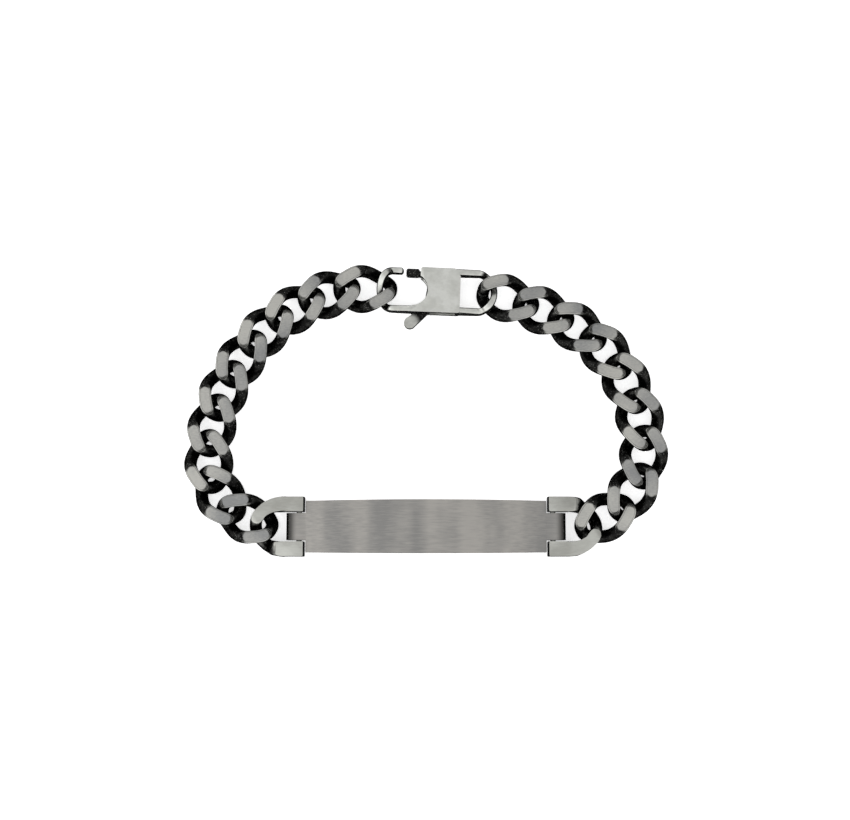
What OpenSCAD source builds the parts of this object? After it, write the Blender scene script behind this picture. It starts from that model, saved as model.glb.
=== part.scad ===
// Id bracelet, closed and lying flat: a curved bar, two end links, a ground curb chain and a lobster clasp.
// Millimetres, +Z up, the surface at z = 0, the bar along X at the near side and the clasp at the far side.

/* [Plate] */
// Length of the plate between its shoulders
plate_length = 44.2; // [38:0.1:50]
// Width of the plate at its middle
plate_width = 9.8; // [9:0.1:11]
// Width of the plate at its shoulders
plate_end_width = 9.4; // [8.6:0.1:10.8]
// Thickness of the plate and of its tongues
plate_thickness = 2; // [1.6:0.1:2.6]
// Rise of the plate's middle over its shoulders
plate_rise = 1.6; // [0.8:0.1:2.6]
// Length of each tongue beyond its shoulder
tongue_length = 3.6; // [3:0.1:4]

/* [Pins] */
// Diameter of the two hinge pins of the plate
pin_diameter = 1; // [0.7:0.05:1.1]
// Distance from a shoulder to the axis of its pin
pin_setback = 1.25; // [1.1:0.05:1.6]
// Depth of the pins' ends inside the arms' outer faces
pin_recess = 0.12; // [0.06:0.02:0.2]
// Radial clearance of the pins in their bores
pin_clearance = 0.05; // [0.03:0.01:0.08]

/* [End links] */
// Width of an end link over its two arms
connector_width = 10.9; // [10:0.1:12]
// Width of an end link's bar, seen from above
connector_bar = 2.7; // [2.3:0.1:3]
// Distance from the pin to the outside of the bend
connector_reach = 9.1; // [8.6:0.1:10]
// Width of an end link's bar at the crown of its bend
crown_width = 2.25; // [2:0.05:2.4]
// Height of an end link's bar at the crown of its bend
crown_height = 1.8; // [1.6:0.1:2]
// Length of the curved part of the bend, along its centre line
bend_depth = 5; // [4.8:0.1:5.4]
// Fall and rise of the bend where the next link crosses it
connector_wave = 2; // [1.8:0.05:2.2]
// Free play between an end link and the link it carries
connector_play = 0.55; // [0.5:0.05:0.7]
// Clearance between the arms and the tongue, and between the arms and the shoulder
connector_clearance = 0.28; // [0.2:0.02:0.4]
// Width of the cut along the edges of the end links' and the clasp's bars
edge_cut = 0.3; // [0.2:0.02:0.36]

/* [Chain] */
// Length of a curb link
link_length = 12.1; // [11.8:0.1:12.6]
// Width of a curb link
link_width = 9.1; // [8.8:0.1:9.8]
// Diameter of a curb link's wire
link_wire = 2.35; // [2:0.05:2.4]
// Twist of a curb link from its middle to each end, in degrees
link_twist_angle = 46; // [42:1:50]
// Free play between neighbouring links as the left side lies
left_play = 0.5; // [0.25:0.05:0.6]
// Free play between neighbouring links as the right side lies, pulled straighter
right_play = 0.3; // [0.2:0.05:0.6]
// Height of the chain after its faces are ground flat
chain_height = 3.5; // [3.2:0.1:3.8]
// Width of the seam in the cut link
seam_width = 0.12; // [0.08:0.02:0.2]

/* [Clasp] */
// Length of the clasp's body
clasp_body_length = 7.5; // [6.6:0.1:8]
// Width of the clasp over its bars
clasp_width = 8.5; // [8:0.1:9]
// Height of the clasp's body
clasp_height = 3.3; // [3:0.1:3.6]
// Width of the clasp's bars, seen from above
clasp_bar = 1.2; // [1:0.05:1.3]
// Distance from the body to the outside of the hook
hook_reach = 8.2; // [7.9:0.1:9]
// Distance from the body to the outside of the ring end
ring_reach = 7; // [6.6:0.1:8]
// Length of the hook's curve, along its centre line
hook_depth = 2.4; // [2:0.1:2.8]
// Length of the ring end's curve, along its centre line
ring_depth = 3.1; // [2.7:0.1:3.5]
// Length of the hook's straight tip
tip_length = 2; // [1.6:0.1:2.4]
// Distance of the throat's centre outside the body
throat_setback = 1.6; // [1.2:0.1:1.8]
// Length of the body's cut corner along the clasp
corner_length = 1.1; // [0.8:0.1:1.3]
// Depth of the body's cut corner across the clasp
corner_depth = 1.5; // [1:0.1:1.8]
// Radius of the corners of the body and of the gate
corner_radius = 0.4; // [0.3:0.05:0.5]
// Free play between the clasp's bars and the links they carry
clasp_play = 0.35; // [0.2:0.05:0.5]
// Rise and fall of the hook and the ring end where the end links cross them
clasp_wave = 0.8; // [0.6:0.05:0.9]
// Height of the clasp's bars at the crossings
crossing_height = 1.5; // [1.3:0.1:1.7]

/* [Lever] */
// Thickness of the lever in its slot
lever_thickness = 1.3; // [1.1:0.1:1.5]
// Clearance on each side of the lever in its slot
lever_clearance = 0.1; // [0.06:0.02:0.14]
// Thickness of the gate, outside the body
gate_thickness = 1.9; // [1.5:0.1:2.2]
// Width of the gate, seen from above
gate_width = 1.35; // [1.2:0.05:1.5]
// Width of the arm between the gate and the rivet, seen from above
arm_width = 1; // [0.8:0.05:1.05]
// Gap between the gate and the tip of the hook
gate_gap = 0.46; // [0.3:0.02:0.6]
// Width of the thumb tab
tab_width = 2.2; // [1.8:0.1:2.5]
// Distance that the thumb tab reaches beyond the body
tab_reach = 3.1; // [2.6:0.1:3.6]
// Distance that the thumb tab leans from the limb's knee towards the hook
tab_lean = 3.1; // [2.4:0.1:3.4]
// Width of the limb between the rivet and the thumb tab
limb_width = 1.4; // [1.2:0.1:1.6]
// Distance that the limb leans towards the hook
limb_lean = 0.9; // [0.6:0.1:1.2]
// Diameter of the lever's hub
hub_diameter = 2.4; // [2.2:0.1:2.6]
// Distance of the gate's outer edge inside the body's far edge
gate_inset = 0.25; // [0.15:0.05:0.35]
// Wall of the body beside the slot, at the ring end
slot_wall = 0.85; // [0.7:0.05:1]
// Wall of the body beyond the slot, at its far edge
far_wall = 0.35; // [0.3:0.05:0.45]
// Length of the slot that reaches past the body, into the hook's root
slot_lead = 0.7; // [0.6:0.1:0.9]
// Distance of the rivet from the body's face at the hook
rivet_inset = 2.3; // [2:0.1:2.5]
// Distance of the rivet from the body's far edge
rivet_drop = 1.7; // [1.6:0.1:2]
// Depth of the rivet in each side of the body
rivet_seat = 0.5; // [0.4:0.05:0.55]
// Diameter of the rivet that the lever turns on
rivet_diameter = 0.9; // [0.7:0.05:1]
// Radial clearance of the rivet in its bores
rivet_clearance = 0.04; // [0.03:0.01:0.08]

/* [Hidden] */
// Route of the chain: the turn in degrees at each hinge, from the plate's end link to the clasp
ROUTE_LEFT = [24, 31, 31, 16, 10, 11, 12, 14, 13, 18];
ROUTE_RIGHT = [28, 28, 28, 18, 12, 16, 17, 10, 5];

LEFT_COUNT = len(ROUTE_LEFT);
RIGHT_COUNT = len(ROUTE_RIGHT);
STATIONS = 16;
WIRE_SIDES = 6;
OVAL_POWER = 2.5;
ARC_FINE = 720;
BOW_STEPS = 4;
ROUND_FINE = 48;
BEND_STEP_ANGLE = 22.5;
CROWN_SPREAD = 8;
ROOT_STEPS = 2;
OVERCUT = 1;

mid_z = chain_height / 2;
pin_x = plate_length / 2 + pin_setback;
bore_radius = pin_diameter / 2 + pin_clearance;
pin_length = connector_width - 2 * pin_recess;
grind_span = 4 * link_length;
tongue_width = connector_width - 2 * connector_bar - 2 * connector_clearance;
tip_reach = (link_length - link_wire) / 2;
left_pitch = 2 * tip_reach - link_wire - left_play;
right_pitch = 2 * tip_reach - link_wire - right_play;
connector_tip = connector_reach - crown_width / 2;
connector_hinge = connector_tip - crown_width / 2 - connector_play;

// Plain helpers
function unit(v) = v / norm(v);
function sign_pow(v, e) = sign(v) * pow(abs(v), e);
function sum_to(list, last) = last < 0 ? 0 : list[last] + sum_to(list, last - 1);
function turned(p, a) = [p.x * cos(a) - p.y * sin(a), p.x * sin(a) + p.y * cos(a)];
function direction(a) = [cos(a), sin(a)];
function angle_of(v) = atan2(v.y, v.x);

// Outline of a bar with cut corners, and of a round wire, as half width and half height
function bar_section(w, h, cut) = [
    [w / 2, cut - h / 2], [w / 2, h / 2 - cut], [w / 2 - cut, h / 2], [cut - w / 2, h / 2],
    [-w / 2, h / 2 - cut], [-w / 2, cut - h / 2], [cut - w / 2, -h / 2], [w / 2 - cut, -h / 2]
];
function wire_section(d) = [for (k = [0:WIRE_SIDES - 1]) d / 2 * direction(360 * k / WIRE_SIDES)];

// One ring of a sweep: the section stands square to the tangent, with its height along the normal
function ring_at(p, tangent, normal, section) =
    let (out = unit(cross(tangent, normal)), up = unit(cross(out, tangent)))
    [for (c = section) p + c.x * out + c.y * up];

function side_faces(rings, sides, closed) = [
    for (i = [0:rings - (closed ? 1 : 2)])
        for (k = [0:sides - 1])
            let (a = i * sides + k,
                 b = i * sides + (k + 1) % sides,
                 c = ((i + 1) % rings) * sides + (k + 1) % sides,
                 d = ((i + 1) % rings) * sides + k)
            each [[a, b, c], [a, c, d]]
];

module sweep(rings, closed) {
    sides = len(rings[0]);
    count = len(rings);
    points = [for (r = rings) each r];
    first_cap = [for (k = [sides - 1:-1:0]) k];
    last_cap = [for (k = [0:sides - 1]) (count - 1) * sides + k];
    caps = closed ? [] : [first_cap, last_cap];
    polyhedron(points, concat(side_faces(count, sides, closed), caps));
}

// Curb link: an oval whose plane turns from one end to the other
function link_turn(u) = -link_twist_angle * sin(90 * u);
function link_point(t) =
    let (u = sign_pow(cos(t), 2 / OVAL_POWER),
         r = (link_width - link_wire) / 2 * sign_pow(sin(t), 2 / OVAL_POWER),
         a = link_turn(u))
    [tip_reach * u, r * cos(a), r * sin(a)];
function link_normal(t) =
    let (a = link_turn(sign_pow(cos(t), 2 / OVAL_POWER)))
    [0, -sin(a), cos(a)];
link_step = 360 / STATIONS;
link_rings = [
    for (i = [0:STATIONS - 1])
        let (t = i * link_step, tangent = unit(link_point(t + link_step) - link_point(t - link_step)))
        ring_at(link_point(t), tangent, link_normal(t), wire_section(link_wire))
];

// Chain: each side walks from its end link to the clasp, one link per turn of its route
function headings(route, start, side, spread) = [
    for (i = [0:len(route) - 1]) start + side * (sum_to(route, i) + spread)
];
function hinge_after(start, heads, pitch, count) =
    start + pitch * [
        sum_to([for (h = heads) cos(h)], count - 1),
        sum_to([for (h = heads) sin(h)], count - 1)
    ];
left_start = [-pin_x - connector_hinge - left_play / 2, 0];
right_start = [pin_x + connector_hinge + right_play / 2, 0];
function left_heads(spread) = headings(ROUTE_LEFT, 180, -1, spread);
function right_heads(spread) = headings(ROUTE_RIGHT, 0, 1, spread);
function left_end(spread) = hinge_after(left_start, left_heads(spread), left_pitch, LEFT_COUNT);
function right_end(spread) = hinge_after(right_start, right_heads(spread), right_pitch, RIGHT_COUNT);

// Clasp outline in its own frame: the middle of the body at the origin, the hook at -X, the ring at +X
bar_y = (clasp_width - clasp_bar) / 2;
body_left = -clasp_body_length / 2;
body_right = clasp_body_length / 2;
hook_tip_x = body_left - hook_reach + clasp_bar / 2;
ring_tip_x = body_right + ring_reach - clasp_bar / 2;
hook_hinge = [hook_tip_x + clasp_bar / 2 + clasp_play - left_play / 2, 0];
ring_hinge = [ring_tip_x - clasp_bar / 2 - clasp_play + right_play / 2, 0];
clasp_span = norm(ring_hinge - hook_hinge);

// The spread of the first turns that lets the two sides meet the clasp's two ends
SPREAD_LIMIT_ANGLE = 30;
CLOSING_STEPS = 30;
function span_error(spread) = norm(right_end(spread) - left_end(spread)) - clasp_span;
function closing_spread(low, high, steps) =
    let (half = (low + high) / 2)
    steps == 0 ? half
    : span_error(half) > 0 ? closing_spread(half, high, steps - 1)
    : closing_spread(low, half, steps - 1);
spread = closing_spread(-SPREAD_LIMIT_ANGLE, SPREAD_LIMIT_ANGLE, CLOSING_STEPS);
clasp_angle = angle_of(right_end(spread) - left_end(spread)) - angle_of(ring_hinge - hook_hinge);
clasp_at = left_end(spread) - turned(hook_hinge, clasp_angle);

// Each link's middle and heading, counted from the clasp
function link_place(start, heads, pitch, from_plate) = [
    hinge_after(start, heads, pitch, from_plate) + pitch / 2 * direction(heads[from_plate]),
    heads[from_plate]
];
left_places = [
    for (i = [1:LEFT_COUNT]) link_place(left_start, left_heads(spread), left_pitch, LEFT_COUNT - i)
];
right_places = [
    for (i = [1:RIGHT_COUNT]) link_place(right_start, right_heads(spread), right_pitch, RIGHT_COUNT - i)
];

// The box of the whole bracelet, from its links and its end links
chain_points = [
    for (place = concat(left_places, right_places))
        for (r = link_rings)
            for (p = r) place[0] + turned(p, place[1])
];
low_x = min([for (p = chain_points) p.x]);
high_x = max([for (p = chain_points) p.x]);
high_y = max([for (p = chain_points) p.y]);
low_y = -connector_width / 2;
centre_shift = -[low_x + high_x, low_y + high_y] / 2;

function two_digits(i) = str(i < 10 ? "0" : "", i);
function left_name(i) = str("link_left_", two_digits(i));
function right_name(i) = str("link_right_", two_digits(i));

module on_the_surface() {
    translate([centre_shift.x, centre_shift.y, mid_z]) children();
}

module ground_flat(height) {
    intersection() {
        children();
        cube([grind_span, grind_span, height], center = true);
    }
}

// Plate
arch_radius = (pow(plate_length / 2, 2) + pow(plate_rise, 2)) / (2 * plate_rise);
bow_xs = [for (i = [-BOW_STEPS:BOW_STEPS]) plate_length / 2 * i / BOW_STEPS];
function bow_y(x) = (plate_width - (plate_width - plate_end_width) * pow(2 * x / plate_length, 2)) / 2;

module plate_arch() {
    translate([0, 0, plate_rise - arch_radius])
        rotate([90, 0, 0])
            linear_extrude(2 * plate_width, center = true)
                difference() {
                    circle(r = arch_radius + plate_thickness / 2, $fn = ARC_FINE);
                    circle(r = arch_radius - plate_thickness / 2, $fn = ARC_FINE);
                }
}

module plate_outline() {
    polygon(concat([for (x = bow_xs) [x, -bow_y(x)]], [for (x = bow_xs) [-x, bow_y(x)]]));
}

module tongue(side) {
    tip_x = plate_length / 2 + tongue_length - plate_thickness / 2;
    root_x = plate_length / 2 - plate_thickness;
    rotate([90, 0, 0])
        linear_extrude(tongue_width, center = true) {
            translate([side * tip_x, 0]) circle(d = plate_thickness, $fn = ROUND_FINE);
            translate([side * (root_x + tip_x) / 2, 0])
                square([tip_x - root_x, plate_thickness], center = true);
        }
}

module pin_bore(side, radius) {
    translate([side * pin_x, 0, 0])
        rotate([90, 0, 0])
            cylinder(r = radius, h = 2 * connector_width, center = true, $fn = ROUND_FINE);
}

module id_plate() {
    color("#979694")
        on_the_surface()
            difference() {
                union() {
                    intersection() {
                        plate_arch();
                        linear_extrude(4 * chain_height, center = true) plate_outline();
                    }
                    for (side = [-1, 1])
                        tongue(side);
                }
                for (side = [-1, 1])
                    pin_bore(side, bore_radius);
            }
}

module hinge_pin(side) {
    color("#303030")
        on_the_surface()
            translate([side * pin_x, 0, 0])
                rotate([90, 0, 0])
                    cylinder(d = pin_diameter, h = pin_length, center = true, $fn = ROUND_FINE);
}

// End link: two straight arms joined by a bend that dips under the next link and rises over it
half_arm = (connector_width - connector_bar) / 2;
arm_end = connector_clearance - pin_setback;
bend_x = connector_tip - bend_depth;
function bend_point(x, depth, half, wave, a) = [x + depth * cos(a), half * sin(a), -wave * sin(2 * a)];
bend_angles = [for (a = [90:-BEND_STEP_ANGLE:-90]) a];
connector_path = concat(
    [[arm_end, half_arm, 0]],
    [for (a = bend_angles) bend_point(bend_x, bend_depth, half_arm, connector_wave, a)],
    [[arm_end, -half_arm, 0]]
);
arm_section = bar_section(connector_bar, chain_height + 2 * edge_cut, edge_cut);
crown_section = bar_section(crown_width, crown_height, edge_cut);
connector_sections = concat(
    [arm_section],
    [for (a = bend_angles) crown_section + (arm_section - crown_section) * pow(sin(a), CROWN_SPREAD)],
    [arm_section]
);

// Rings of an open bar that follows a path, its sections upright
function bar_rings(path, sections) = [
    for (i = [0:len(path) - 1])
        let (before = path[max(i - 1, 0)], after = path[min(i + 1, len(path) - 1)])
        ring_at(path[i], unit(after - before), [0, 0, 1], sections[i])
];

module connector(side) {
    color("#b3b4af")
        on_the_surface()
            difference() {
                rotate(side > 0 ? 0 : 180)
                    translate([pin_x, 0, 0])
                        ground_flat(chain_height)
                            sweep(bar_rings(connector_path, connector_sections), false);
                pin_bore(side, bore_radius);
            }
}

module curb_link() {
    ground_flat(chain_height) sweep(link_rings, true);
}

module seam() {
    translate([tip_reach, 0, 0])
        cube([2 * link_wire, seam_width, 2 * chain_height], center = true);
}

module placed_link(place) {
    color("#3a3a39")
        on_the_surface()
            translate([place[0].x, place[0].y, 0])
                rotate(place[1])
                    children();
}

module link_left(i) {
    placed_link(left_places[i - 1]) curb_link();
}

// The first link of the right side is cut and bent shut round the clasp's ring end
module link_right(i) {
    placed_link(right_places[i - 1])
        difference() {
            curb_link();
            if (i == 1)
                seam();
        }
}

// Clasp
slot_half = lever_thickness / 2 + lever_clearance;
slot_right = body_right - slot_wall;
slot_far = clasp_width / 2 - far_wall;
throat_radius = clasp_width / 2 - clasp_bar;
throat_x = body_left - throat_setback;
rivet_at = [body_left + rivet_inset, clasp_width / 2 - rivet_drop];
rivet_half = slot_half + rivet_seat;

hook_bend_x = hook_tip_x + hook_depth;
ring_bend_x = ring_tip_x - ring_depth;
gate_end_x = hook_bend_x + tip_length + gate_gap;

root_section = bar_section(clasp_bar, clasp_height - 2 * edge_cut, edge_cut);
crossing_section = bar_section(clasp_bar, crossing_height, edge_cut);
function clasp_sections(from_root) = [
    for (steps = from_root)
        crossing_section + (root_section - crossing_section) * max(0, 1 - steps / ROOT_STEPS)
];
hook_path = concat(
    [[body_left, -bar_y, 0]],
    [for (a = bend_angles) bend_point(hook_bend_x, -hook_depth, bar_y, -clasp_wave, -a)],
    [[hook_bend_x + tip_length, bar_y, 0]]
);
ring_path = concat(
    [[body_right - clasp_bar / 2, bar_y, 0]],
    [for (a = bend_angles) bend_point(ring_bend_x, ring_depth, bar_y, clasp_wave, a)],
    [[body_right - clasp_bar / 2, -bar_y, 0]]
);
hook_sections = clasp_sections([for (i = [0:len(hook_path) - 1]) i]);
ring_sections = clasp_sections([for (i = [0:len(ring_path) - 1]) min(i, len(ring_path) - 1 - i)]);

module in_clasp() {
    on_the_surface()
        translate([clasp_at.x, clasp_at.y, (clasp_height - chain_height) / 2])
            rotate(clasp_angle)
                children();
}

module rounded_corner_square(low, high, radius) {
    for (x = [low.x + radius, high.x - radius])
        for (y = [low.y + radius, high.y - radius])
            translate([x, y]) circle(r = radius, $fn = ROUND_FINE);
    translate([low.x + radius, low.y]) square([high.x - low.x - 2 * radius, high.y - low.y]);
    translate([low.x, low.y + radius]) square([high.x - low.x, high.y - low.y - 2 * radius]);
}

module body_outline() {
    difference() {
        union() {
            rounded_corner_square(
                [body_left, -clasp_width / 2], [body_right, clasp_width / 2], corner_radius
            );
            translate([throat_x, -clasp_width / 2])
                square([body_left - throat_x + clasp_bar, clasp_width / 2 - clasp_bar]);
        }
        translate([throat_x, 0]) circle(r = throat_radius, $fn = ROUND_FINE);
        polygon([
            [body_right - corner_length, clasp_width / 2],
            [body_right, clasp_width / 2 - corner_depth],
            [body_right + OVERCUT, clasp_width / 2 - corner_depth],
            [body_right + OVERCUT, clasp_width / 2 + OVERCUT],
            [body_right - corner_length, clasp_width / 2 + OVERCUT]
        ]);
    }
}

module lever_slot() {
    translate([body_left - slot_lead, -clasp_width / 2 - OVERCUT, -slot_half])
        cube([slot_right - body_left + slot_lead, clasp_width / 2 + OVERCUT + slot_far, 2 * slot_half]);
}

module clasp_body() {
    color("#bec0ba")
        in_clasp()
            difference() {
                union() {
                    linear_extrude(clasp_height, center = true) body_outline();
                    ground_flat(clasp_height)
                        sweep(bar_rings(hook_path, hook_sections), false);
                    ground_flat(clasp_height)
                        sweep(bar_rings(ring_path, ring_sections), false);
                }
                lever_slot();
                translate([rivet_at.x, rivet_at.y, 0])
                    cylinder(
                        r = rivet_diameter / 2 + rivet_clearance,
                        h = 2 * (rivet_half + rivet_clearance),
                        center = true,
                        $fn = ROUND_FINE
                    );
            }
}

module round_bar(from, to, width) {
    along = to - from;
    for (p = [from, to])
        translate(p) circle(d = width, $fn = ROUND_FINE);
    translate(from)
        rotate(angle_of(along))
            translate([0, -width / 2]) square([norm(along), width]);
}

knee = [rivet_at.x - limb_lean, -clasp_width / 2 + limb_width / 2];
tab_end = [knee.x - tab_lean, tab_width / 2 - clasp_width / 2 - tab_reach];
gate_far = clasp_width / 2 - gate_inset;
gate_arm_low = gate_far - gate_width;

module clasp_lever() {
    color("#8d8f8a")
        in_clasp()
            difference() {
                union() {
                    linear_extrude(lever_thickness, center = true) {
                        translate(rivet_at) circle(d = hub_diameter, $fn = ROUND_FINE);
                        round_bar(rivet_at, knee, limb_width);
                        round_bar(knee, tab_end, limb_width);
                        translate(tab_end) circle(d = tab_width, $fn = ROUND_FINE);
                        translate([gate_end_x + gate_width, gate_arm_low])
                            square([rivet_at.x - gate_end_x - gate_width, arm_width]);
                    }
                    linear_extrude(gate_thickness, center = true)
                        rounded_corner_square(
                            [gate_end_x, gate_arm_low],
                            [body_left - gate_gap / 2, gate_far],
                            corner_radius
                        );
                }
                translate([rivet_at.x, rivet_at.y, 0])
                    cylinder(
                        r = rivet_diameter / 2 + rivet_clearance,
                        h = 2 * lever_thickness,
                        center = true,
                        $fn = ROUND_FINE
                    );
            }
}

module clasp_rivet() {
    color("#9a9c97")
        in_clasp()
            translate([rivet_at.x, rivet_at.y, 0])
                cylinder(d = rivet_diameter, h = 2 * rivet_half, center = true, $fn = ROUND_FINE);
}

id_plate();
connector(-1);  // connector_left
connector(1);  // connector_right
hinge_pin(-1);  // pin_left
hinge_pin(1);  // pin_right
for (i = [1:LEFT_COUNT])
    link_left(i);
for (i = [1:RIGHT_COUNT])
    link_right(i);
clasp_body();
clasp_lever();
clasp_rivet();
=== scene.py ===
import math

import bmesh
import bpy
from mathutils import Matrix, Vector


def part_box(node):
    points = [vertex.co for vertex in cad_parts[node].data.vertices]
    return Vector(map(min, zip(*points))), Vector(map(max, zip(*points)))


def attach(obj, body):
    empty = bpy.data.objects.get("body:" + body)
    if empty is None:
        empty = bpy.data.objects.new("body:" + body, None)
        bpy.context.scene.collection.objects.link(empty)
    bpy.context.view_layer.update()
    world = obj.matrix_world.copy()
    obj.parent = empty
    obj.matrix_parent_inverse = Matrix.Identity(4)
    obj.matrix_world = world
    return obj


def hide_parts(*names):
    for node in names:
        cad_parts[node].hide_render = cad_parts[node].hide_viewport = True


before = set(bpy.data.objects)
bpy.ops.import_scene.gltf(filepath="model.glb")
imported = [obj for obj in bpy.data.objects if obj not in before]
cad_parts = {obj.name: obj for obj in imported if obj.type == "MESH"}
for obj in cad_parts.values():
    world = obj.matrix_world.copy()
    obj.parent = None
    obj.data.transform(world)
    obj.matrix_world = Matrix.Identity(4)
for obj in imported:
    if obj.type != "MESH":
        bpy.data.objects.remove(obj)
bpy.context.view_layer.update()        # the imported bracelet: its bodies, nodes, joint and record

MM = 0.001

# Sizes in millimetres, under the names that the part's source gives them
PLATE_LENGTH = 44.2
PIN_SETBACK = 1.25
PIN_DIAMETER = 1.0
PIN_CLEARANCE = 0.05
CONNECTOR_WIDTH = 10.9
CONNECTOR_BAR = 2.7
CONNECTOR_REACH = 9.1
CROWN_WIDTH = 2.25
CROWN_HEIGHT = 1.8
BEND_DEPTH = 5.0
CONNECTOR_WAVE = 2.0
CONNECTOR_PLAY = 0.55
CONNECTOR_CLEARANCE = 0.28
CROWN_SPREAD = 8
EDGE_CUT = 0.3
LINK_LENGTH = 12.1
LINK_WIDTH = 9.1
LINK_WIRE = 2.35
LINK_TWIST = 46
OVAL_POWER = 2.5
LEFT_PLAY = 0.5
RIGHT_PLAY = 0.3
CHAIN_HEIGHT = 3.5
SEAM_WIDTH = 0.12
ROUTE_LEFT = (24, 31, 31, 16, 10, 11, 12, 14, 13, 18)
ROUTE_RIGHT = (28, 28, 28, 18, 12, 16, 17, 10, 5)
CLASP_BODY_LENGTH = 7.5
CLASP_WIDTH = 8.5
CLASP_HEIGHT = 3.3
CLASP_BAR = 1.2
HOOK_REACH = 8.2
RING_REACH = 7.0
HOOK_DEPTH = 2.4
RING_DEPTH = 3.1
TIP_LENGTH = 2.0
THROAT_SETBACK = 1.6
CORNER_LENGTH = 1.1
CORNER_DEPTH = 1.5
CORNER_RADIUS = 0.4
CLASP_PLAY = 0.35
CLASP_WAVE = 0.8
CROSSING_HEIGHT = 1.5
SLOT_HALF = 0.75
SLOT_WALL = 0.85
FAR_WALL = 0.35
SLOT_LEAD = 0.7
RIVET_INSET = 2.3
RIVET_DROP = 1.7
RIVET_SEAT = 0.5
RIVET_DIAMETER = 0.9
RIVET_CLEARANCE = 0.04
LEVER_THICKNESS = 1.3
LIMB_WIDTH = 1.4
LIMB_LEAN = 0.9
TAB_LEAN = 3.1
TAB_REACH = 3.1
TAB_WIDTH = 2.2

# Sizes in millimetres that only the scene has: the worn rim round each ground face, from the outside in, then the
# softened edges of the other pieces, the slot's extra room for the lever's paddle and its cut past the body's edge
BURR_WIDTH = 0.07
BURR_DROP = 0.04
CAMBER_WIDTH = 0.15
CAMBER_DROP = 0.03
LINE_WIDTH = 0.08
END_LINK_EDGE = 0.1
PLATE_EDGE = 0.2
CLASP_EDGE = 0.26
CLASP_BAR_ROUNDING = 0.22
TIP_ROUNDING = 0.45
LEVER_EDGE = 0.26
PIN_EDGE = 0.12
PADDLE_ROOM = 0.3
SLOT_OVERCUT = 1
# How close points lie that are joined, in millimetres: on a ground face's rim, in a solid before its edges are
# softened, in the slivers that this leaves, and in a CAD solid's loose triangles
RIM_MERGE = 0.06
SOLID_MERGE = 0.004
SLIVER = 0.002
CAD_MERGE = 0.002
# How near a cut's plane a point counts as on it, in metres: when cutting, and when the cut's points are looked up
CUT_SLACK = 1e-8
LEVEL_SLACK = 1e-7
# In degrees, the turn below which two faces become one, and the turn above which an edge is softened
FLAT_JOIN = 0.4
EDGE_ANGLE = 38
# How strongly the larger faces decide the normals of the points they share
FACE_WEIGHT = 100

PIN_X = PLATE_LENGTH / 2 + PIN_SETBACK
TIP_REACH = (LINK_LENGTH - LINK_WIRE) / 2
LEFT_PITCH = 2 * TIP_REACH - LINK_WIRE - LEFT_PLAY
RIGHT_PITCH = 2 * TIP_REACH - LINK_WIRE - RIGHT_PLAY
CONNECTOR_TIP = CONNECTOR_REACH - CROWN_WIDTH / 2
CONNECTOR_HINGE = CONNECTOR_TIP - CROWN_WIDTH / 2 - CONNECTOR_PLAY
BAR_Y = (CLASP_WIDTH - CLASP_BAR) / 2
BODY_LEFT = -CLASP_BODY_LENGTH / 2
BODY_RIGHT = CLASP_BODY_LENGTH / 2
HOOK_TIP_X = BODY_LEFT - HOOK_REACH + CLASP_BAR / 2
RING_TIP_X = BODY_RIGHT + RING_REACH - CLASP_BAR / 2
HOOK_BEND_X = HOOK_TIP_X + HOOK_DEPTH
KNEE = (BODY_LEFT + RIVET_INSET - LIMB_LEAN, -CLASP_WIDTH / 2 + LIMB_WIDTH / 2)
TAB = (KNEE[0] - TAB_LEAN, TAB_WIDTH / 2 - CLASP_WIDTH / 2 - TAB_REACH)
RING_BEND_X = RING_TIP_X - RING_DEPTH

# An end link's bend, in degrees from its tip: up to CROSSING_ANGLE the low side keeps the bend's own height, and by
# SHOULDER_ANGLE it has climbed to the height that the bend has at FLAT_ANGLE
CROSSING_ANGLE = 66
SHOULDER_ANGLE = 83
FLAT_ANGLE = 87
# How round its bar gets towards the tip, and how soon
CROWN_ROUNDING = 0.85
ROUNDING_RATE = 6
# The turn in degrees above which its edges are softened, and the length of the cut at its arms' ends, which brings
# the dark tone onto them as painted shade of the gap to the plate
END_LINK_EDGE_ANGLE = 42
SHADED_ARM_END_CUT = 0.3

# The clasp's bars are measured in steps: one from the body to the bend, one for each STEP_TURN degrees of the bend,
# and one back. By ROOT_STEPS a bar has come down to the height at which a link crosses it
STEP_TURN = 22.5
LAST_STEP = 10
ROOT_STEPS = 2
# How deep a bar starts in the body, in bar widths, and in degrees, from where its rise is eased and how far its tip
# is rounded
ROOT_INSET = 0.75
EASED_FROM = 45
TIP_TURN = 80

# How finely the curved pieces are drawn
LINE_STEPS = 88
WIRE_SIDES = 22
BEND_STEPS = 40
CORNER_STEPS = 3
BODY_CORNER_STEPS = 6
ARC_STEPS = 28
# How the spread of the first turns is looked for: within how many degrees, and in how many halvings
SPREAD_LIMIT = 30.0
CLOSING_STEPS = 30


# Where the links and the clasp lie, by the same walk as in the part's source

def direction(angle):
    return Vector((math.cos(math.radians(angle)), math.sin(math.radians(angle))))


def angle_of(v):
    return math.degrees(math.atan2(v.y, v.x))


def turned(p, angle):
    return Matrix.Rotation(math.radians(angle), 2) @ Vector(p)


def walk(route, start, first_heading, side, pitch, spread):
    """Each link's middle and heading from the plate's end, and the last hinge."""
    places, at, turn = [], Vector(start), spread
    for step in route:
        turn += step
        heading = first_heading + side * turn
        places.append((at + pitch / 2 * direction(heading), heading))
        at = at + pitch * direction(heading)
    return places, at


def left_side(spread):
    return walk(ROUTE_LEFT, (-PIN_X - CONNECTOR_HINGE - LEFT_PLAY / 2, 0), 180, -1, LEFT_PITCH, spread)


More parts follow.
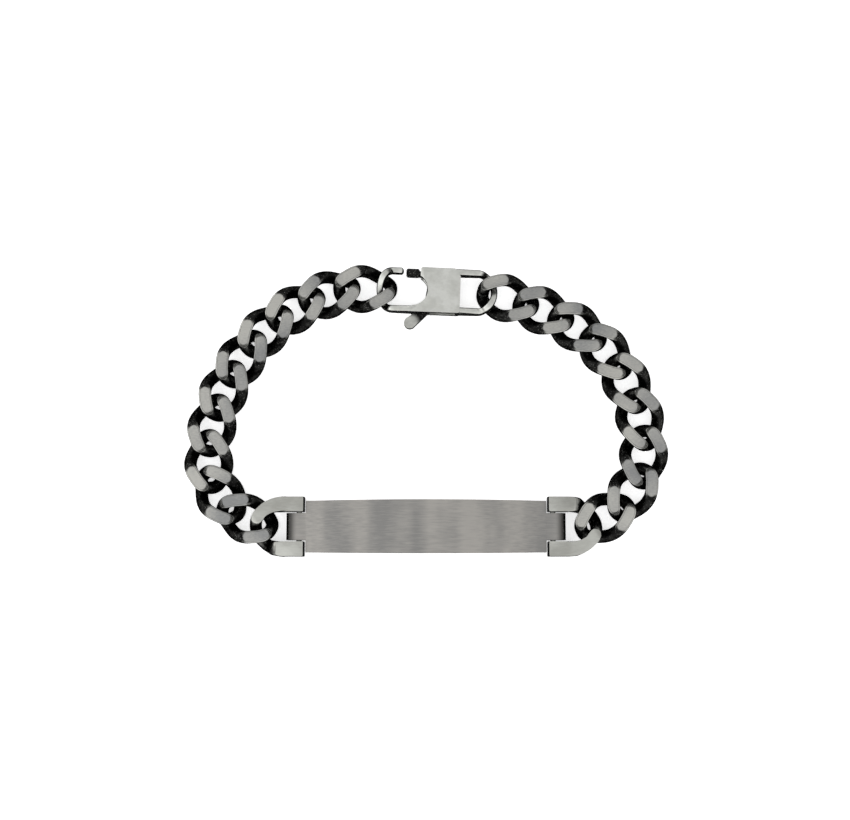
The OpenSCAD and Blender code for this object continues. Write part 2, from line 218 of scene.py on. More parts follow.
def right_side(spread):
    return walk(ROUTE_RIGHT, (PIN_X + CONNECTOR_HINGE + RIGHT_PLAY / 2, 0), 0, 1, RIGHT_PITCH, spread)


def closing_spread(span):
    """The spread of the first turns at which the two sides' ends are the clasp's length apart."""
    low, high = -SPREAD_LIMIT, SPREAD_LIMIT
    for _ in range(CLOSING_STEPS):
        half = (low + high) / 2
        if (right_side(half)[1] - left_side(half)[1]).length > span:
            low = half
        else:
            high = half
    return (low + high) / 2


hook_hinge = Vector((HOOK_TIP_X + CLASP_BAR / 2 + CLASP_PLAY - LEFT_PLAY / 2, 0))
ring_hinge = Vector((RING_TIP_X - CLASP_BAR / 2 - CLASP_PLAY + RIGHT_PLAY / 2, 0))
spread = closing_spread((ring_hinge - hook_hinge).length)
left_places, left_end = left_side(spread)
right_places, right_end = right_side(spread)
clasp_angle = angle_of(right_end - left_end)
clasp_at = left_end - turned(hook_hinge, clasp_angle)

# The source centres the whole bracelet on its box; the end link's own box gives that shift back
pin_low, pin_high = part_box("pin_right")
shift = Vector(((pin_low.x + pin_high.x) / 2 / MM - PIN_X, (pin_low.y + pin_high.y) / 2 / MM))


# Small helpers for meshes

def new_object(name, mesh):
    piece = bpy.data.objects.new(name, mesh)
    bpy.context.scene.collection.objects.link(piece)
    return piece


def mesh_from(name, points, faces):
    """A closed mesh from millimetre points; its faces are turned outwards."""
    mesh = bpy.data.meshes.new(name)
    mesh.from_pydata([Vector(p) * MM for p in points], [], faces)
    work = bmesh.new()
    work.from_mesh(mesh)
    bmesh.ops.recalc_face_normals(work, faces=work.faces)
    work.to_mesh(mesh)
    work.free()
    return mesh


def rounded_section(width, height, radius):
    """Outline of a bar with round corners, anticlockwise."""
    corners = []
    for k, (sx, sy) in enumerate(((1, 1), (-1, 1), (-1, -1), (1, -1))):
        for i in range(CORNER_STEPS + 1):
            a = math.radians(90 * (k + i / CORNER_STEPS))
            corners.append((
                sx * (width / 2 - radius) + radius * math.cos(a),
                sy * (height / 2 - radius) + radius * math.sin(a),
            ))
    return corners


def sweep(name, path, sections):
    """A bar along a path of millimetre points, its sections upright, capped at both ends."""
    path = [Vector(p) for p in path]
    points, faces = [], []
    sides, count = len(sections[0]), len(path)
    for i, at in enumerate(path):
        tangent = (path[min(i + 1, count - 1)] - path[max(i - 1, 0)]).normalized()
        out = tangent.cross(Vector((0, 0, 1))).normalized()
        up = out.cross(tangent).normalized()
        points += [at + x * out + y * up for x, y in sections[i]]
    for i in range(count - 1):
        for k in range(sides):
            a, b = i * sides + k, i * sides + (k + 1) % sides
            faces.append((a, b, b + sides, a + sides))
    faces.append(tuple(range(sides)))
    faces.append(tuple((count - 1) * sides + k for k in range(sides)))
    return mesh_from(name, points, faces)


def prism(name, outline, low, high):
    """A flat outline of millimetre points, raised from low to high."""
    count = len(outline)
    points = [(x, y, z) for z in (low, high) for x, y in outline]
    faces = [tuple(range(count)), tuple(range(count, 2 * count))]
    faces += [(k, (k + 1) % count, (k + 1) % count + count, k + count) for k in range(count)]
    return mesh_from(name, points, faces)


def arc(centre, radius, start, end, steps=ARC_STEPS):
    turns = [start + (end - start) * i / steps for i in range(steps + 1)]
    return [tuple(Vector(centre) + radius * direction(turn)) for turn in turns]


def circle(centre, radius):
    return arc(centre, radius, 0, 360 - 360 / ARC_STEPS, ARC_STEPS - 1)


def evaluated_mesh(piece):
    """The piece's mesh with its modifiers made real; the piece itself is removed."""
    graph = bpy.context.evaluated_depsgraph_get()
    mesh = bpy.data.meshes.new_from_object(piece.evaluated_get(graph), depsgraph=graph)
    bpy.data.objects.remove(piece)
    return mesh


def combined(mesh, others, operation):
    """One solid from a mesh and others that are joined to it or cut out of it."""
    piece = new_object("work", mesh)
    tools = [new_object("tool", other) for other in others]
    for tool in tools:
        step = piece.modifiers.new("step", "BOOLEAN")
        step.operation, step.solver, step.object = operation, "EXACT", tool
    result = evaluated_mesh(piece)
    for tool in tools:
        bpy.data.objects.remove(tool)
    return result


def softened(mesh, width, angle=EDGE_ANGLE, segments=2):
    """Wears the sharp edges of a solid round, and keeps its flat faces flat to the eye."""
    work = bmesh.new()
    work.from_mesh(mesh)
    bmesh.ops.remove_doubles(work, verts=work.verts, dist=SOLID_MERGE * MM)
    bmesh.ops.dissolve_limit(
        work, angle_limit=math.radians(FLAT_JOIN), verts=work.verts, edges=work.edges, delimit={"MATERIAL"},
    )
    work.to_mesh(mesh)
    work.free()
    for face in mesh.polygons:
        face.use_smooth = True
    mesh.set_sharp_from_angle(angle=math.radians(angle))
    piece = new_object("work", mesh)
    edge = piece.modifiers.new("edge", "BEVEL")
    edge.width, edge.segments, edge.limit_method = width * MM, segments, "ANGLE"
    edge.angle_limit, edge.harden_normals, edge.use_clamp_overlap = math.radians(angle), True, True
    return evaluated_mesh(piece)


def without_slivers(mesh, in_triangles=False):
    """Joins the points that a softened edge left on one another, and lets the larger faces set the normals again."""
    work = bmesh.new()
    work.from_mesh(mesh)
    if in_triangles:
        bmesh.ops.triangulate(work, faces=work.faces)
    bmesh.ops.remove_doubles(work, verts=work.verts, dist=SLIVER * MM)
    bmesh.ops.dissolve_degenerate(work, edges=work.edges, dist=SLIVER * MM)
    work.to_mesh(mesh)
    work.free()
    piece = new_object("work", mesh)
    piece.modifiers.new("flat", "WEIGHTED_NORMAL").weight = FACE_WEIGHT
    return evaluated_mesh(piece)


def merged_copy(node):
    """A CAD solid's mesh, copied with its loose triangles joined up."""
    work = bmesh.new()
    work.from_mesh(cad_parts[node].data)
    bmesh.ops.remove_doubles(work, verts=work.verts, dist=CAD_MERGE * MM)
    mesh = bpy.data.meshes.new(node + "_copy")
    work.to_mesh(mesh)
    work.free()
    return mesh


def ground_flat(mesh, low, high, rings):
    """Grinds both faces flat and gives them the second material. Rings are the parts of the worn rim round each face,
    from the outside in: the width, the drop towards the outside and the material of each."""
    work = bmesh.new()
    work.from_mesh(mesh)
    for face in work.faces:
        face.material_index = 0
    for height, side in ((low, -1), (high, 1)):
        fall = sum(drop for _, drop, _ in rings)
        level = (height - side * fall) * MM
        bmesh.ops.bisect_plane(
            work, geom=work.verts[:] + work.edges[:] + work.faces[:], dist=CUT_SLACK,
            plane_co=(0, 0, level), plane_no=(0, 0, side), clear_outer=True,
        )
        rim = [v for v in work.verts if abs(v.co.z - level) < LEVEL_SLACK]
        bmesh.ops.remove_doubles(work, verts=rim, dist=RIM_MERGE * MM)
        open_edges = [
            e for e in work.edges if e.is_boundary and all(abs(v.co.z - level) < LEVEL_SLACK for v in e.verts)
        ]
        cut_faces = bmesh.ops.holes_fill(work, edges=open_edges, sides=0)["faces"]
        for face in cut_faces:
            face.smooth = False
        for width, drop, finish in rings:
            ring = bmesh.ops.inset_individual(
                work, faces=cut_faces, thickness=width * MM, use_even_offset=False,
            )["faces"]
            fall -= drop
            for face in cut_faces:
                for corner in face.verts:
                    corner.co.z = (height - side * fall) * MM
            for face in ring:
                face.material_index = finish
        for face in cut_faces:
            face.material_index = 1
    bmesh.ops.recalc_face_normals(work, faces=work.faces)
    for face in work.faces:
        if face.material_index == 0:
            face.smooth = True
    for edge in work.edges:
        edge.smooth = len({face.material_index for face in edge.link_faces}) == 1
    work.to_mesh(mesh)
    work.free()
    return mesh


# Materials

def linear(hex_colour):
    """An sRGB hex value as the linear colour that the nodes take."""
    parts = [int(hex_colour[i:i + 2], 16) / 255 for i in (1, 3, 5)]
    return [p / 12.92 if p <= 0.04045 else ((p + 0.055) / 1.055) ** 2.4 for p in parts] + [1.0]


def add(tree, kind, wires=None, **settings):
    """Adds a node: settings are its own properties, wires its inputs, each a value or another node's output."""
    node = tree.nodes.new(kind)
    for name, value in settings.items():
        setattr(node, name, value)
    for name, value in (wires or {}).items():
        if isinstance(value, bpy.types.NodeSocket):
            tree.links.new(value, node.inputs[name])
        else:
            node.inputs[name].default_value = value
    return node


# The parts of the noises' ranges that are spread over a finish, of its soft patches, on the plate bands of painted
# reflection, and of its grain, and how rough the grain's noise is
PATCH_RANGE = (0.34, 0.66)
GRAIN_RANGE = (0.3, 0.7)
GRAIN_ROUGHNESS = 0.55
# The bare specks in the oxide: their size in millimetres, their part of the noise's range, and how bare they get
SPECK = 0.2
SPECK_RANGE = (0.62, 0.74)
SPECK_SHARE = 0.45
# The blackened metal's two tones, which also stand as painted shade on the clasp's and lever's flanks and the end
# links' arm ends, and the tone of its glance
OXIDE_AND_SHADE = ("#0A0A0A", "#262625")
OXIDE_GLANCE = "#707070"


def steel(name, bare, rough, grain_mm, patch_and_sheen_mm, bump_um, oxide=None, bare_where=(), fray=0.0, streak=0.5):
    """A steel finish. bare holds the darker and lighter tone of the bare metal, in soft patches under a fine grain,
    whose sizes in mm are given along X, Y and Z: the metal's own tone, except on the plate, where the patches are
    stretched into bands of painted reflection. rough holds the roughness at the grain's two ends, and bump_um the
    grain's height. oxide holds the two tones of the blackened metal, which also stand as painted shade on the clasp's
    and the lever's flanks and on the end links' arm ends. They give way to bare metal where all of bare_where hold,
    each a measure and its values where the dark starts to go and where it has gone. The measure is the tilt of the
    face, or the distance in mm from a point, each axis of it scaled, in the object's coordinates or in those of the
    attribute it names. fray is how far the grain moves those bounds, and streak how much of the tones it takes."""
    material = bpy.data.materials.new(name)
    material.use_nodes = True
    tree = material.node_tree
    tree.nodes.clear()
    place = add(tree, "ShaderNodeTexCoord").outputs["Object"]
    fine = add(tree, "ShaderNodeMapping", {"Vector": place, "Scale": [1 / (g * MM) for g in grain_mm]}).outputs[0]
    grain = add(tree, "ShaderNodeTexNoise", {
        "Vector": fine, "Scale": 1.0, "Detail": 2.0, "Roughness": GRAIN_ROUGHNESS,
    }).outputs[0]
    # The soft patches: the metal's own tone, stretched on the plate into bands of painted reflection
    wide = add(tree, "ShaderNodeMapping", {"Vector": place, "Scale": [1 / (p * MM) for p in patch_and_sheen_mm]}).outputs[0]
    patch = add(tree, "ShaderNodeTexNoise", {"Vector": wide, "Scale": 1.0, "Detail": 2.0}).outputs[0]
    soft = add(tree, "ShaderNodeMapRange", {
        "Value": patch, "From Min": PATCH_RANGE[0], "From Max": PATCH_RANGE[1],
    }).outputs[0]
    lined = add(tree, "ShaderNodeMath", {0: grain, 1: streak, 2: -streak / 2}, operation="MULTIPLY_ADD").outputs[0]
    tone = add(tree, "ShaderNodeMath", {0: soft, 1: lined}, operation="ADD", use_clamp=True).outputs[0]
    colour = add(tree, "ShaderNodeMix", {
        0: tone, 6: linear(bare[0]), 7: linear(bare[1]),
    }, data_type="RGBA").outputs[2]
    gloss = add(tree, "ShaderNodeMapRange", {
        "Value": grain, "From Min": GRAIN_RANGE[0], "From Max": GRAIN_RANGE[1],
        "To Min": rough[0], "To Max": rough[1],
    }).outputs[0]
    if oxide:
        speck_at = add(tree, "ShaderNodeMapping", {"Vector": place, "Scale": [1 / (SPECK * MM)] * 3}).outputs[0]
        specks = add(tree, "ShaderNodeTexNoise", {"Vector": speck_at, "Scale": 1.0, "Detail": 1.0}).outputs[0]
        few = add(tree, "ShaderNodeMapRange", {
            "Value": specks, "From Min": SPECK_RANGE[0], "From Max": SPECK_RANGE[1], "To Max": SPECK_SHARE,
        }).outputs[0]
        black = add(tree, "ShaderNodeMix", {
            0: tone, 6: linear(oxide[0]), 7: linear(oxide[1]),
        }, data_type="RGBA").outputs[2]
        # The share of bare metal shown: on the chain it follows wear, on the clasp's and lever's flanks and the end
        # links' arm ends it is painted shade
        bare_share = 1.0
        for measure, dark_at, bare_at in bare_where:
            if measure == "TILT":
                normal = add(tree, "ShaderNodeNewGeometry").outputs["Normal"]
                facing = add(tree, "ShaderNodeSeparateXYZ", {0: normal}).outputs[2]
                value = add(tree, "ShaderNodeMath", {0: facing}, operation="ABSOLUTE").outputs[0]
            else:
                centre, axes, *own = measure
                at = place
                if own:
                    at = add(tree, "ShaderNodeAttribute", attribute_name=own[0]).outputs["Vector"]
                away = add(tree, "ShaderNodeVectorMath", {
                    0: at, 1: Vector(centre) * MM,
                }, operation="SUBTRACT").outputs[0]
                scaled = add(tree, "ShaderNodeVectorMath", {
                    0: away, 1: Vector(axes) / MM,
                }, operation="MULTIPLY").outputs[0]
                value = add(tree, "ShaderNodeVectorMath", {0: scaled}, operation="LENGTH").outputs["Value"]
            frayed = add(tree, "ShaderNodeMath", {
                0: grain, 1: fray, 2: value,
            }, operation="MULTIPLY_ADD").outputs[0]
            share = add(tree, "ShaderNodeMapRange", {
                "Value": frayed, "From Min": dark_at + fray / 2, "From Max": bare_at + fray / 2,
            }, interpolation_type="SMOOTHSTEP").outputs[0]
            bare_share = add(tree, "ShaderNodeMath", {0: share, 1: bare_share}, operation="MULTIPLY").outputs[0]
        shown = add(tree, "ShaderNodeMath", {0: bare_share, 1: few}, operation="MAXIMUM").outputs[0]
        colour = add(tree, "ShaderNodeMix", {0: shown, 6: black, 7: colour}, data_type="RGBA").outputs[2]
    bump = add(tree, "ShaderNodeBump", {"Height": grain, "Strength": 1.0, "Distance": bump_um * 1e-6}).outputs[0]
    shader = add(tree, "ShaderNodeBsdfPrincipled", {
        "Base Color": colour, "Metallic": 1.0, "Roughness": gloss, "Normal": bump,
        "Specular Tint": linear(OXIDE_GLANCE if oxide else "#FFFFFF"),
    })
    add(tree, "ShaderNodeOutputMaterial", {"Surface": shader.outputs[0]})
    return material


# A link's ground face: its middle in millimetres in the link's own axes, the turn in degrees that lays it along the
# first axis, and the attribute that then holds each point's place
FACE_MIDDLE = (3.17, 2.12, 0)
FACE_TURN = 31
ON_FACE = "on_face"
# Measures for where the dark tones give way to bare metal, each a point and the scale of each axis: the height from
# the chain's middle, the length from the plate's middle, and the distance from the middle of the thumb tab's end
MID_HEIGHT = ((0, 0, CHAIN_HEIGHT / 2), (0, 0, 1))
MID_LENGTH = ((shift.x, 0, 0), (1, 0, 0))
TAB_END = ((*(clasp_at + shift + turned(TAB, clasp_angle)), 0), (1, 1, 0))
# Where the chain is bare: high up on the wire where it lies flat, on each ground face inside an oval, and on the wire
# only up to the face's far end, which is measured from a line FAR_REACH millimetres before the face's middle
WORN_EDGES = ((MID_HEIGHT, 0.7, 1.7), ("TILT", 0.64, 0.97))
FACE_ENDS = ((FACE_MIDDLE, (1, 1.45, 0), ON_FACE), 2.8, 2.45)
FAR_REACH = 6
FACE_FAR_END = (((FACE_MIDDLE[0] - FAR_REACH, FACE_MIDDLE[1], 0), (1, 0, 0), ON_FACE), 3.15, 3.75)
# Each steel below has its grain's and its patches' sizes in millimetres. Real brushing, satin and oxide grain is a
# few hundredths of a millimetre wide, too fine to show in the render, so it is drawn as coarse as it needs to show

# Stainless steel, belt brushed along the plate: fine lines along X, soft bands across it that are painted reflection,
# and dark towards the tongues' ends
plate_steel = steel(
    "stainless_brushed_along", ("#8F8E8C", "#AEABA6"), (0.30, 0.40), (2.6, 0.2, 0.2), (6, 24, 24), 3,
    OXIDE_AND_SHADE, ((MID_LENGTH, 25.4, 23.6),), 0.4, streak=1.3,
)
# Stainless wire ground flat and satin polished: a fine even grain, a little warmer or cooler from link to link; each
# face is dark towards both ends and bare only inside an oval
ground_steel = steel(
    "stainless_ground_satin", ("#959696", "#C4C3BD"), (0.30, 0.42), (0.5, 0.25, 0.25), (11, 11, 11), 3,
    OXIDE_AND_SHADE, (FACE_ENDS,), 0.3, streak=1.0,
)
# Steel wire blackened by oxide and tumbled: nearly black, rubbed grey where it runs up to a ground face, with fine
# bare specks
blackened_steel, blackened_wire = (steel(
    name, ("#6A6A67", "#94948F"), (0.26, 0.42), (0.5, 0.5, 0.5), (2, 2, 2), 10, OXIDE_AND_SHADE, bare_where, 0.3,
) for name, bare_where in (
    ("steel_oxide_blackened", WORN_EDGES), ("steel_wire_oxide_blackened", (*WORN_EDGES, FACE_FAR_END)),
))
# The end links' ground faces, satin polished a little brighter than the chain's
bright_steel = steel(
    "stainless_ground_bright", ("#ABABA5", "#C5C6C0"), (0.28, 0.38), (0.9, 0.2, 0.2), (5, 5, 5), 3, streak=0.9,
)
# Cast stainless steel: pale on what faces up or down, and dark on its flanks and edges, which is painted shade
cast_steel = steel(
    "stainless_cast_buffed", ("#D0D1CB", "#E2E3DE"), (0.30, 0.42), (0.5, 0.35, 0.35), (2.5, 2.5, 2.5), 4,
    OXIDE_AND_SHADE, (("TILT", 0.84, 0.96),), 0.06, streak=0.9,
)
# The lever, stamped from steel sheet: pale near the thumb tab's end where it faces up or down, dark further off,
# and dark on its flanks, which is painted shade
stamped_steel = steel(
    "steel_stamped_rubbed", ("#B2B3AE", "#CBCCC6"), (0.32, 0.46), (0.4, 0.4, 0.4), (1.6, 1.6, 1.6), 5,
    OXIDE_AND_SHADE, ((TAB_END, 2.1, 1.0), ("TILT", 0.8, 0.96)), 0.3,
)
# The pins and the rivet, drawn wire: lines along their length
drawn_steel = steel("stainless_drawn_wire", ("#80817D", "#A0A19C"), (0.30, 0.42), (0.15, 3, 0.15), (2, 2, 2), 4)


def dress(name, mesh, body, slot, nodes, *materials):
    """Makes a finished piece: its materials, the body it rides on and the CAD nodes it stands for. Its slot is not
    used.
    """
    finish_of = [face.material_index for face in mesh.polygons]
    mesh.materials.clear()
    for material in materials:
        mesh.materials.append(material)
    mesh.polygons.foreach_set("material_index", [min(i, len(materials) - 1) for i in finish_of])
    mesh.name = name
    piece = new_object(name, mesh)
    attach(piece, body)
    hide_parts(*nodes)
    return piece


# The chain: one twisted oval link, set at every place and ground flat on both faces

def chain_tree():
    tree = bpy.data.node_groups.new("curb_chain", "GeometryNodeTree")
    made = {"tree": tree}
    for name, kind in (
        ("Places", "NodeSocketGeometry"), ("Tip reach", "NodeSocketFloat"), ("Half span", "NodeSocketFloat"),
        ("Wire radius", "NodeSocketFloat"), ("Twist", "NodeSocketFloat"), ("Oval power", "NodeSocketFloat"),
        ("Seam angle", "NodeSocketFloat"), ("Closed", "NodeSocketBool"), ("Finish", "NodeSocketMaterial"),
    ):
        made[name] = tree.interface.new_socket(name, in_out="INPUT", socket_type=kind).identifier
    tree.interface.new_socket("Links", in_out="OUTPUT", socket_type="NodeSocketGeometry")
    given = add(tree, "NodeGroupInput").outputs
    line = add(tree, "GeometryNodeCurvePrimitiveCircle", {"Resolution": LINE_STEPS, "Radius": 1.0})
    # Each point's angle round the link: from one side of the seam to the other, or once round where there is none
    index = add(tree, "GeometryNodeInputIndex").outputs[0]
    room = add(tree, "ShaderNodeMath", {
        0: given["Seam angle"], 1: -2.0, 2: 2 * math.pi,
    }, operation="MULTIPLY_ADD").outputs[0]
    count = add(tree, "ShaderNodeMath", {0: given["Closed"], 1: LINE_STEPS - 1.0}, operation="ADD").outputs[0]
    step = add(tree, "ShaderNodeMath", {0: room, 1: count}, operation="DIVIDE").outputs[0]
    angle = add(tree, "ShaderNodeMath", {
        0: index, 1: step, 2: given["Seam angle"],
    }, operation="MULTIPLY_ADD").outputs[0]
    # The oval: the angle's cosine and sine, each raised to a power, with its sign kept
    power = add(tree, "ShaderNodeMath", {0: 2.0, 1: given["Oval power"]}, operation="DIVIDE").outputs[0]
    oval = []
    for wave in ("COSINE", "SINE"):
        value = add(tree, "ShaderNodeMath", {0: angle}, operation=wave).outputs[0]
        size = add(tree, "ShaderNodeMath", {0: value}, operation="ABSOLUTE").outputs[0]
        raised = add(tree, "ShaderNodeMath", {0: size, 1: power}, operation="POWER").outputs[0]
        sign = add(tree, "ShaderNodeMath", {0: value}, operation="SIGN").outputs[0]
        oval.append(add(tree, "ShaderNodeMath", {0: sign, 1: raised}, operation="MULTIPLY").outputs[0])
    along = oval[0]
    across = add(tree, "ShaderNodeMath", {0: given["Half span"], 1: oval[1]}, operation="MULTIPLY").outputs[0]
    # The twist: the oval turns about its length, one way at one tip and the other way at the other
    quarters = add(tree, "ShaderNodeMath", {0: along, 1: math.pi / 2}, operation="MULTIPLY").outputs[0]
    lean = add(tree, "ShaderNodeMath", {0: quarters}, operation="SINE").outputs[0]
    backwards = add(tree, "ShaderNodeMath", {0: given["Twist"], 1: -1.0}, operation="MULTIPLY").outputs[0]
    turn = add(tree, "ShaderNodeMath", {0: lean, 1: backwards}, operation="MULTIPLY").outputs[0]
    reach = add(tree, "ShaderNodeMath", {0: along, 1: given["Tip reach"]}, operation="MULTIPLY").outputs[0]
    point = add(tree, "ShaderNodeCombineXYZ", {0: reach})
    for axis, wave in ((1, "COSINE"), (2, "SINE")):
        share = add(tree, "ShaderNodeMath", {0: turn}, operation=wave).outputs[0]
        part = add(tree, "ShaderNodeMath", {0: across, 1: share}, operation="MULTIPLY").outputs[0]
        tree.links.new(part, point.inputs[axis])
    shaped = add(tree, "GeometryNodeSetPosition", {"Geometry": line.outputs[0], "Position": point.outputs[0]})
    joined = add(tree, "GeometryNodeSetSplineCyclic", {"Geometry": shaped.outputs[0], "Cyclic": given["Closed"]})
    wire = add(tree, "GeometryNodeCurvePrimitiveCircle", {"Resolution": WIRE_SIDES, "Radius": given["Wire radius"]})
    link = add(tree, "GeometryNodeCurveToMesh", {
        "Curve": joined.outputs[0], "Profile Curve": wire.outputs[0], "Fill Caps": True,
    })
    # Each point's place along its ground face, for the dark tone at the face's ends: a link's four ground faces are
    # alike, so its first quarter stands for all
    position = add(tree, "GeometryNodeInputPosition").outputs[0]
    quarter = add(tree, "ShaderNodeVectorMath", {0: position}, operation="ABSOLUTE").outputs[0]
    on_face = add(tree, "ShaderNodeVectorRotate", {
        "Vector": quarter, "Center": Vector(FACE_MIDDLE) * MM, "Angle": math.radians(FACE_TURN),
    }, rotation_type="Z_AXIS").outputs[0]
    marked = add(tree, "GeometryNodeStoreNamedAttribute", {
        "Geometry": link.outputs[0], "Name": ON_FACE, "Value": on_face,
    }, data_type="FLOAT_VECTOR", domain="POINT")
    heading = add(tree, "GeometryNodeInputNamedAttribute", {"Name": "heading"}, data_type="FLOAT")
    facing = add(tree, "ShaderNodeCombineXYZ", {2: heading.outputs[0]})
    rotation = add(tree, "FunctionNodeEulerToRotation", {0: facing.outputs[0]})
    set_out = add(tree, "GeometryNodeInstanceOnPoints", {
        "Points": given["Places"], "Instance": marked.outputs[0], "Rotation": rotation.outputs[0],
    })
    real = add(tree, "GeometryNodeRealizeInstances", {0: set_out.outputs[0]})
    finished = add(tree, "GeometryNodeSetMaterial", {"Geometry": real.outputs[0], "Material": given["Finish"]})
    add(tree, "NodeGroupOutput", {0: finished.outputs[0]})
    return made


def links_at(made, places, seam_angle=0.0):
    """The links at these places, as one plain mesh."""
    mesh = bpy.data.meshes.new("places")
    middle = Vector((0, 0, CHAIN_HEIGHT / 2 * MM))
    mesh.from_pydata([((p + shift) * MM).to_3d() + middle for p, _ in places], [], [])
    heading = mesh.attributes.new("heading", "FLOAT", "POINT")
    heading.data.foreach_set("value", [math.radians(h) for _, h in places])
    piece = new_object("places", mesh)
    step = piece.modifiers.new("curb_chain", "NODES")
    step.node_group = made["tree"]
    for name, value in (
        ("Tip reach", TIP_REACH * MM), ("Half span", (LINK_WIDTH - LINK_WIRE) / 2 * MM),
        ("Wire radius", LINK_WIRE / 2 * MM), ("Twist", math.radians(LINK_TWIST)), ("Oval power", OVAL_POWER),
        ("Seam angle", seam_angle), ("Closed", seam_angle == 0.0), ("Finish", blackened_wire),
    ):
        step[made[name]] = value
    return ground_flat(
        evaluated_mesh(piece), 0, CHAIN_HEIGHT,
        ((BURR_WIDTH, BURR_DROP, 0), (CAMBER_WIDTH, CAMBER_DROP, 1), (LINE_WIDTH, 0, 0)),
    )


chain = chain_tree()
left_names = [f"link_left_{i:02d}" for i in range(len(ROUTE_LEFT), 0, -1)]
right_names = [f"link_right_{i:02d}" for i in range(len(ROUTE_RIGHT), 0, -1)]
half_seam = SEAM_WIDTH / (LINK_WIDTH - LINK_WIRE) / math.cos(math.radians(LINK_TWIST))
dress(
    "curb_chain", links_at(chain, left_places + right_places[:-1]), "bracelet", "black_steel",
    left_names + right_names[:-1], blackened_wire, ground_steel,
)
dress(
    "cut_link", links_at(chain, right_places[-1:], math.asin(half_seam ** (OVAL_POWER / 2))),
    "bracelet", "black_steel", right_names[-1:], blackened_wire, ground_steel,
)


# The plate, its end links and pins

def bend_point(x, depth, half, wave, angle):
    a = math.radians(angle)
    return (x + depth * math.cos(a), half * math.sin(a), -wave * math.sin(2 * a))


def height_angle(angle):
    """The angle whose height a point of the bend takes: the low side climbs late, close to its arm."""
    if angle <= CROSSING_ANGLE:
        return angle
    if angle < SHOULDER_ANGLE:
        climb = (FLAT_ANGLE - CROSSING_ANGLE) * (angle - CROSSING_ANGLE)
        return CROSSING_ANGLE + climb / (SHOULDER_ANGLE - CROSSING_ANGLE)
    return FLAT_ANGLE + (90 - FLAT_ANGLE) * (angle - SHOULDER_ANGLE) / (90 - SHOULDER_ANGLE)


def end_link(side):
    half_arm = (CONNECTOR_WIDTH - CONNECTOR_BAR) / 2
    arm_end = CONNECTOR_CLEARANCE - PIN_SETBACK
    bend_x = CONNECTOR_TIP - BEND_DEPTH
    angles = [90 - 180 * i / BEND_STEPS for i in range(BEND_STEPS + 1)]
    # The arms' ends are cut lower so that the dark tone covers them, as painted shade of the gap to the plate
    path = [(arm_end, half_arm, 0), (arm_end + SHADED_ARM_END_CUT, half_arm, 0)]
    tip = rounded_section(CONNECTOR_BAR, CHAIN_HEIGHT - 2 * SHADED_ARM_END_CUT, EDGE_CUT)
    arm = rounded_section(CONNECTOR_BAR, CHAIN_HEIGHT + 2 * EDGE_CUT, EDGE_CUT)
    sections = [tip, arm]
    for a in angles:
        x, y, _ = bend_point(bend_x, BEND_DEPTH, half_arm, CONNECTOR_WAVE, a)
        path.append((x, y, bend_point(0, 0, 0, CONNECTOR_WAVE, height_angle(a))[2]))
        share = abs(math.sin(math.radians(height_angle(a)))) ** CROWN_SPREAD
        sections.append(rounded_section(
            CROWN_WIDTH + (CONNECTOR_BAR - CROWN_WIDTH) * share,
            CROWN_HEIGHT + (CHAIN_HEIGHT + 2 * EDGE_CUT - CROWN_HEIGHT) * share,
            EDGE_CUT + (CROWN_ROUNDING - EDGE_CUT) * min(1, ROUNDING_RATE * (1 - share)),
        ))
    path += [(arm_end + SHADED_ARM_END_CUT, -half_arm, 0), (arm_end, -half_arm, 0)]
    sections += [arm, tip]
    bar = ground_flat(sweep("bar", path, sections), -CHAIN_HEIGHT / 2, CHAIN_HEIGHT / 2, ())
    rim = circle((0, 0), PIN_DIAMETER / 2 + PIN_CLEARANCE)
    bore = prism("bore", rim, -CONNECTOR_WIDTH, CONNECTOR_WIDTH)
    bore.transform(Matrix.Rotation(math.radians(90), 4, "X"))
    bar = softened(combined(bar, [bore], "DIFFERENCE"), END_LINK_EDGE, END_LINK_EDGE_ANGLE)
    place = Matrix.Translation(Vector((side * PIN_X + shift.x, shift.y, CHAIN_HEIGHT / 2)) * MM)
    bar.transform(place @ Matrix.Rotation(0 if side > 0 else math.pi, 4, "Z"))
    return bar


for side, word in ((-1, "left"), (1, "right")):
    dress(
        f"end_link_{word}", end_link(side), "bracelet", "bright_steel", [f"connector_{word}"],
        blackened_steel, bright_steel,
    )
    pin = softened(merged_copy(f"pin_{word}"), PIN_EDGE)
    dress(f"hinge_pin_{word}", pin, "bracelet", "pin_steel", [f"pin_{word}"], drawn_steel)
dress(
    "name_plate", softened(merged_copy("id_plate"), PLATE_EDGE), "bracelet", "plate_steel", ["id_plate"],
    plate_steel,
)


# The clasp

def eased(x, depth, wave, angle):
    """A point of a clasp bar's bend, whose rise starts without a kink."""
    px, py, pz = bend_point(x, depth, BAR_Y, wave, angle)
    if abs(angle) > EASED_FROM:
        pz *= abs(math.sin(math.radians(2 * angle)))
    return (px, py, pz)


def clasp_bar(name, path, steps, sizes):
    """One of the clasp's bars: high where it leaves the body, low where a link crosses it."""
    sections = []
    for s, size in zip(steps, sizes):
        root = max(0.0, 1 - s / ROOT_STEPS)
        height = CROSSING_HEIGHT + (CLASP_HEIGHT - 2 * EDGE_CUT - CROSSING_HEIGHT) * root
        outline = rounded_section(CLASP_BAR, height, CLASP_BAR_ROUNDING)
        sections.append([(x * size, y * size) for x, y in outline])
    return sweep(name, path, sections)


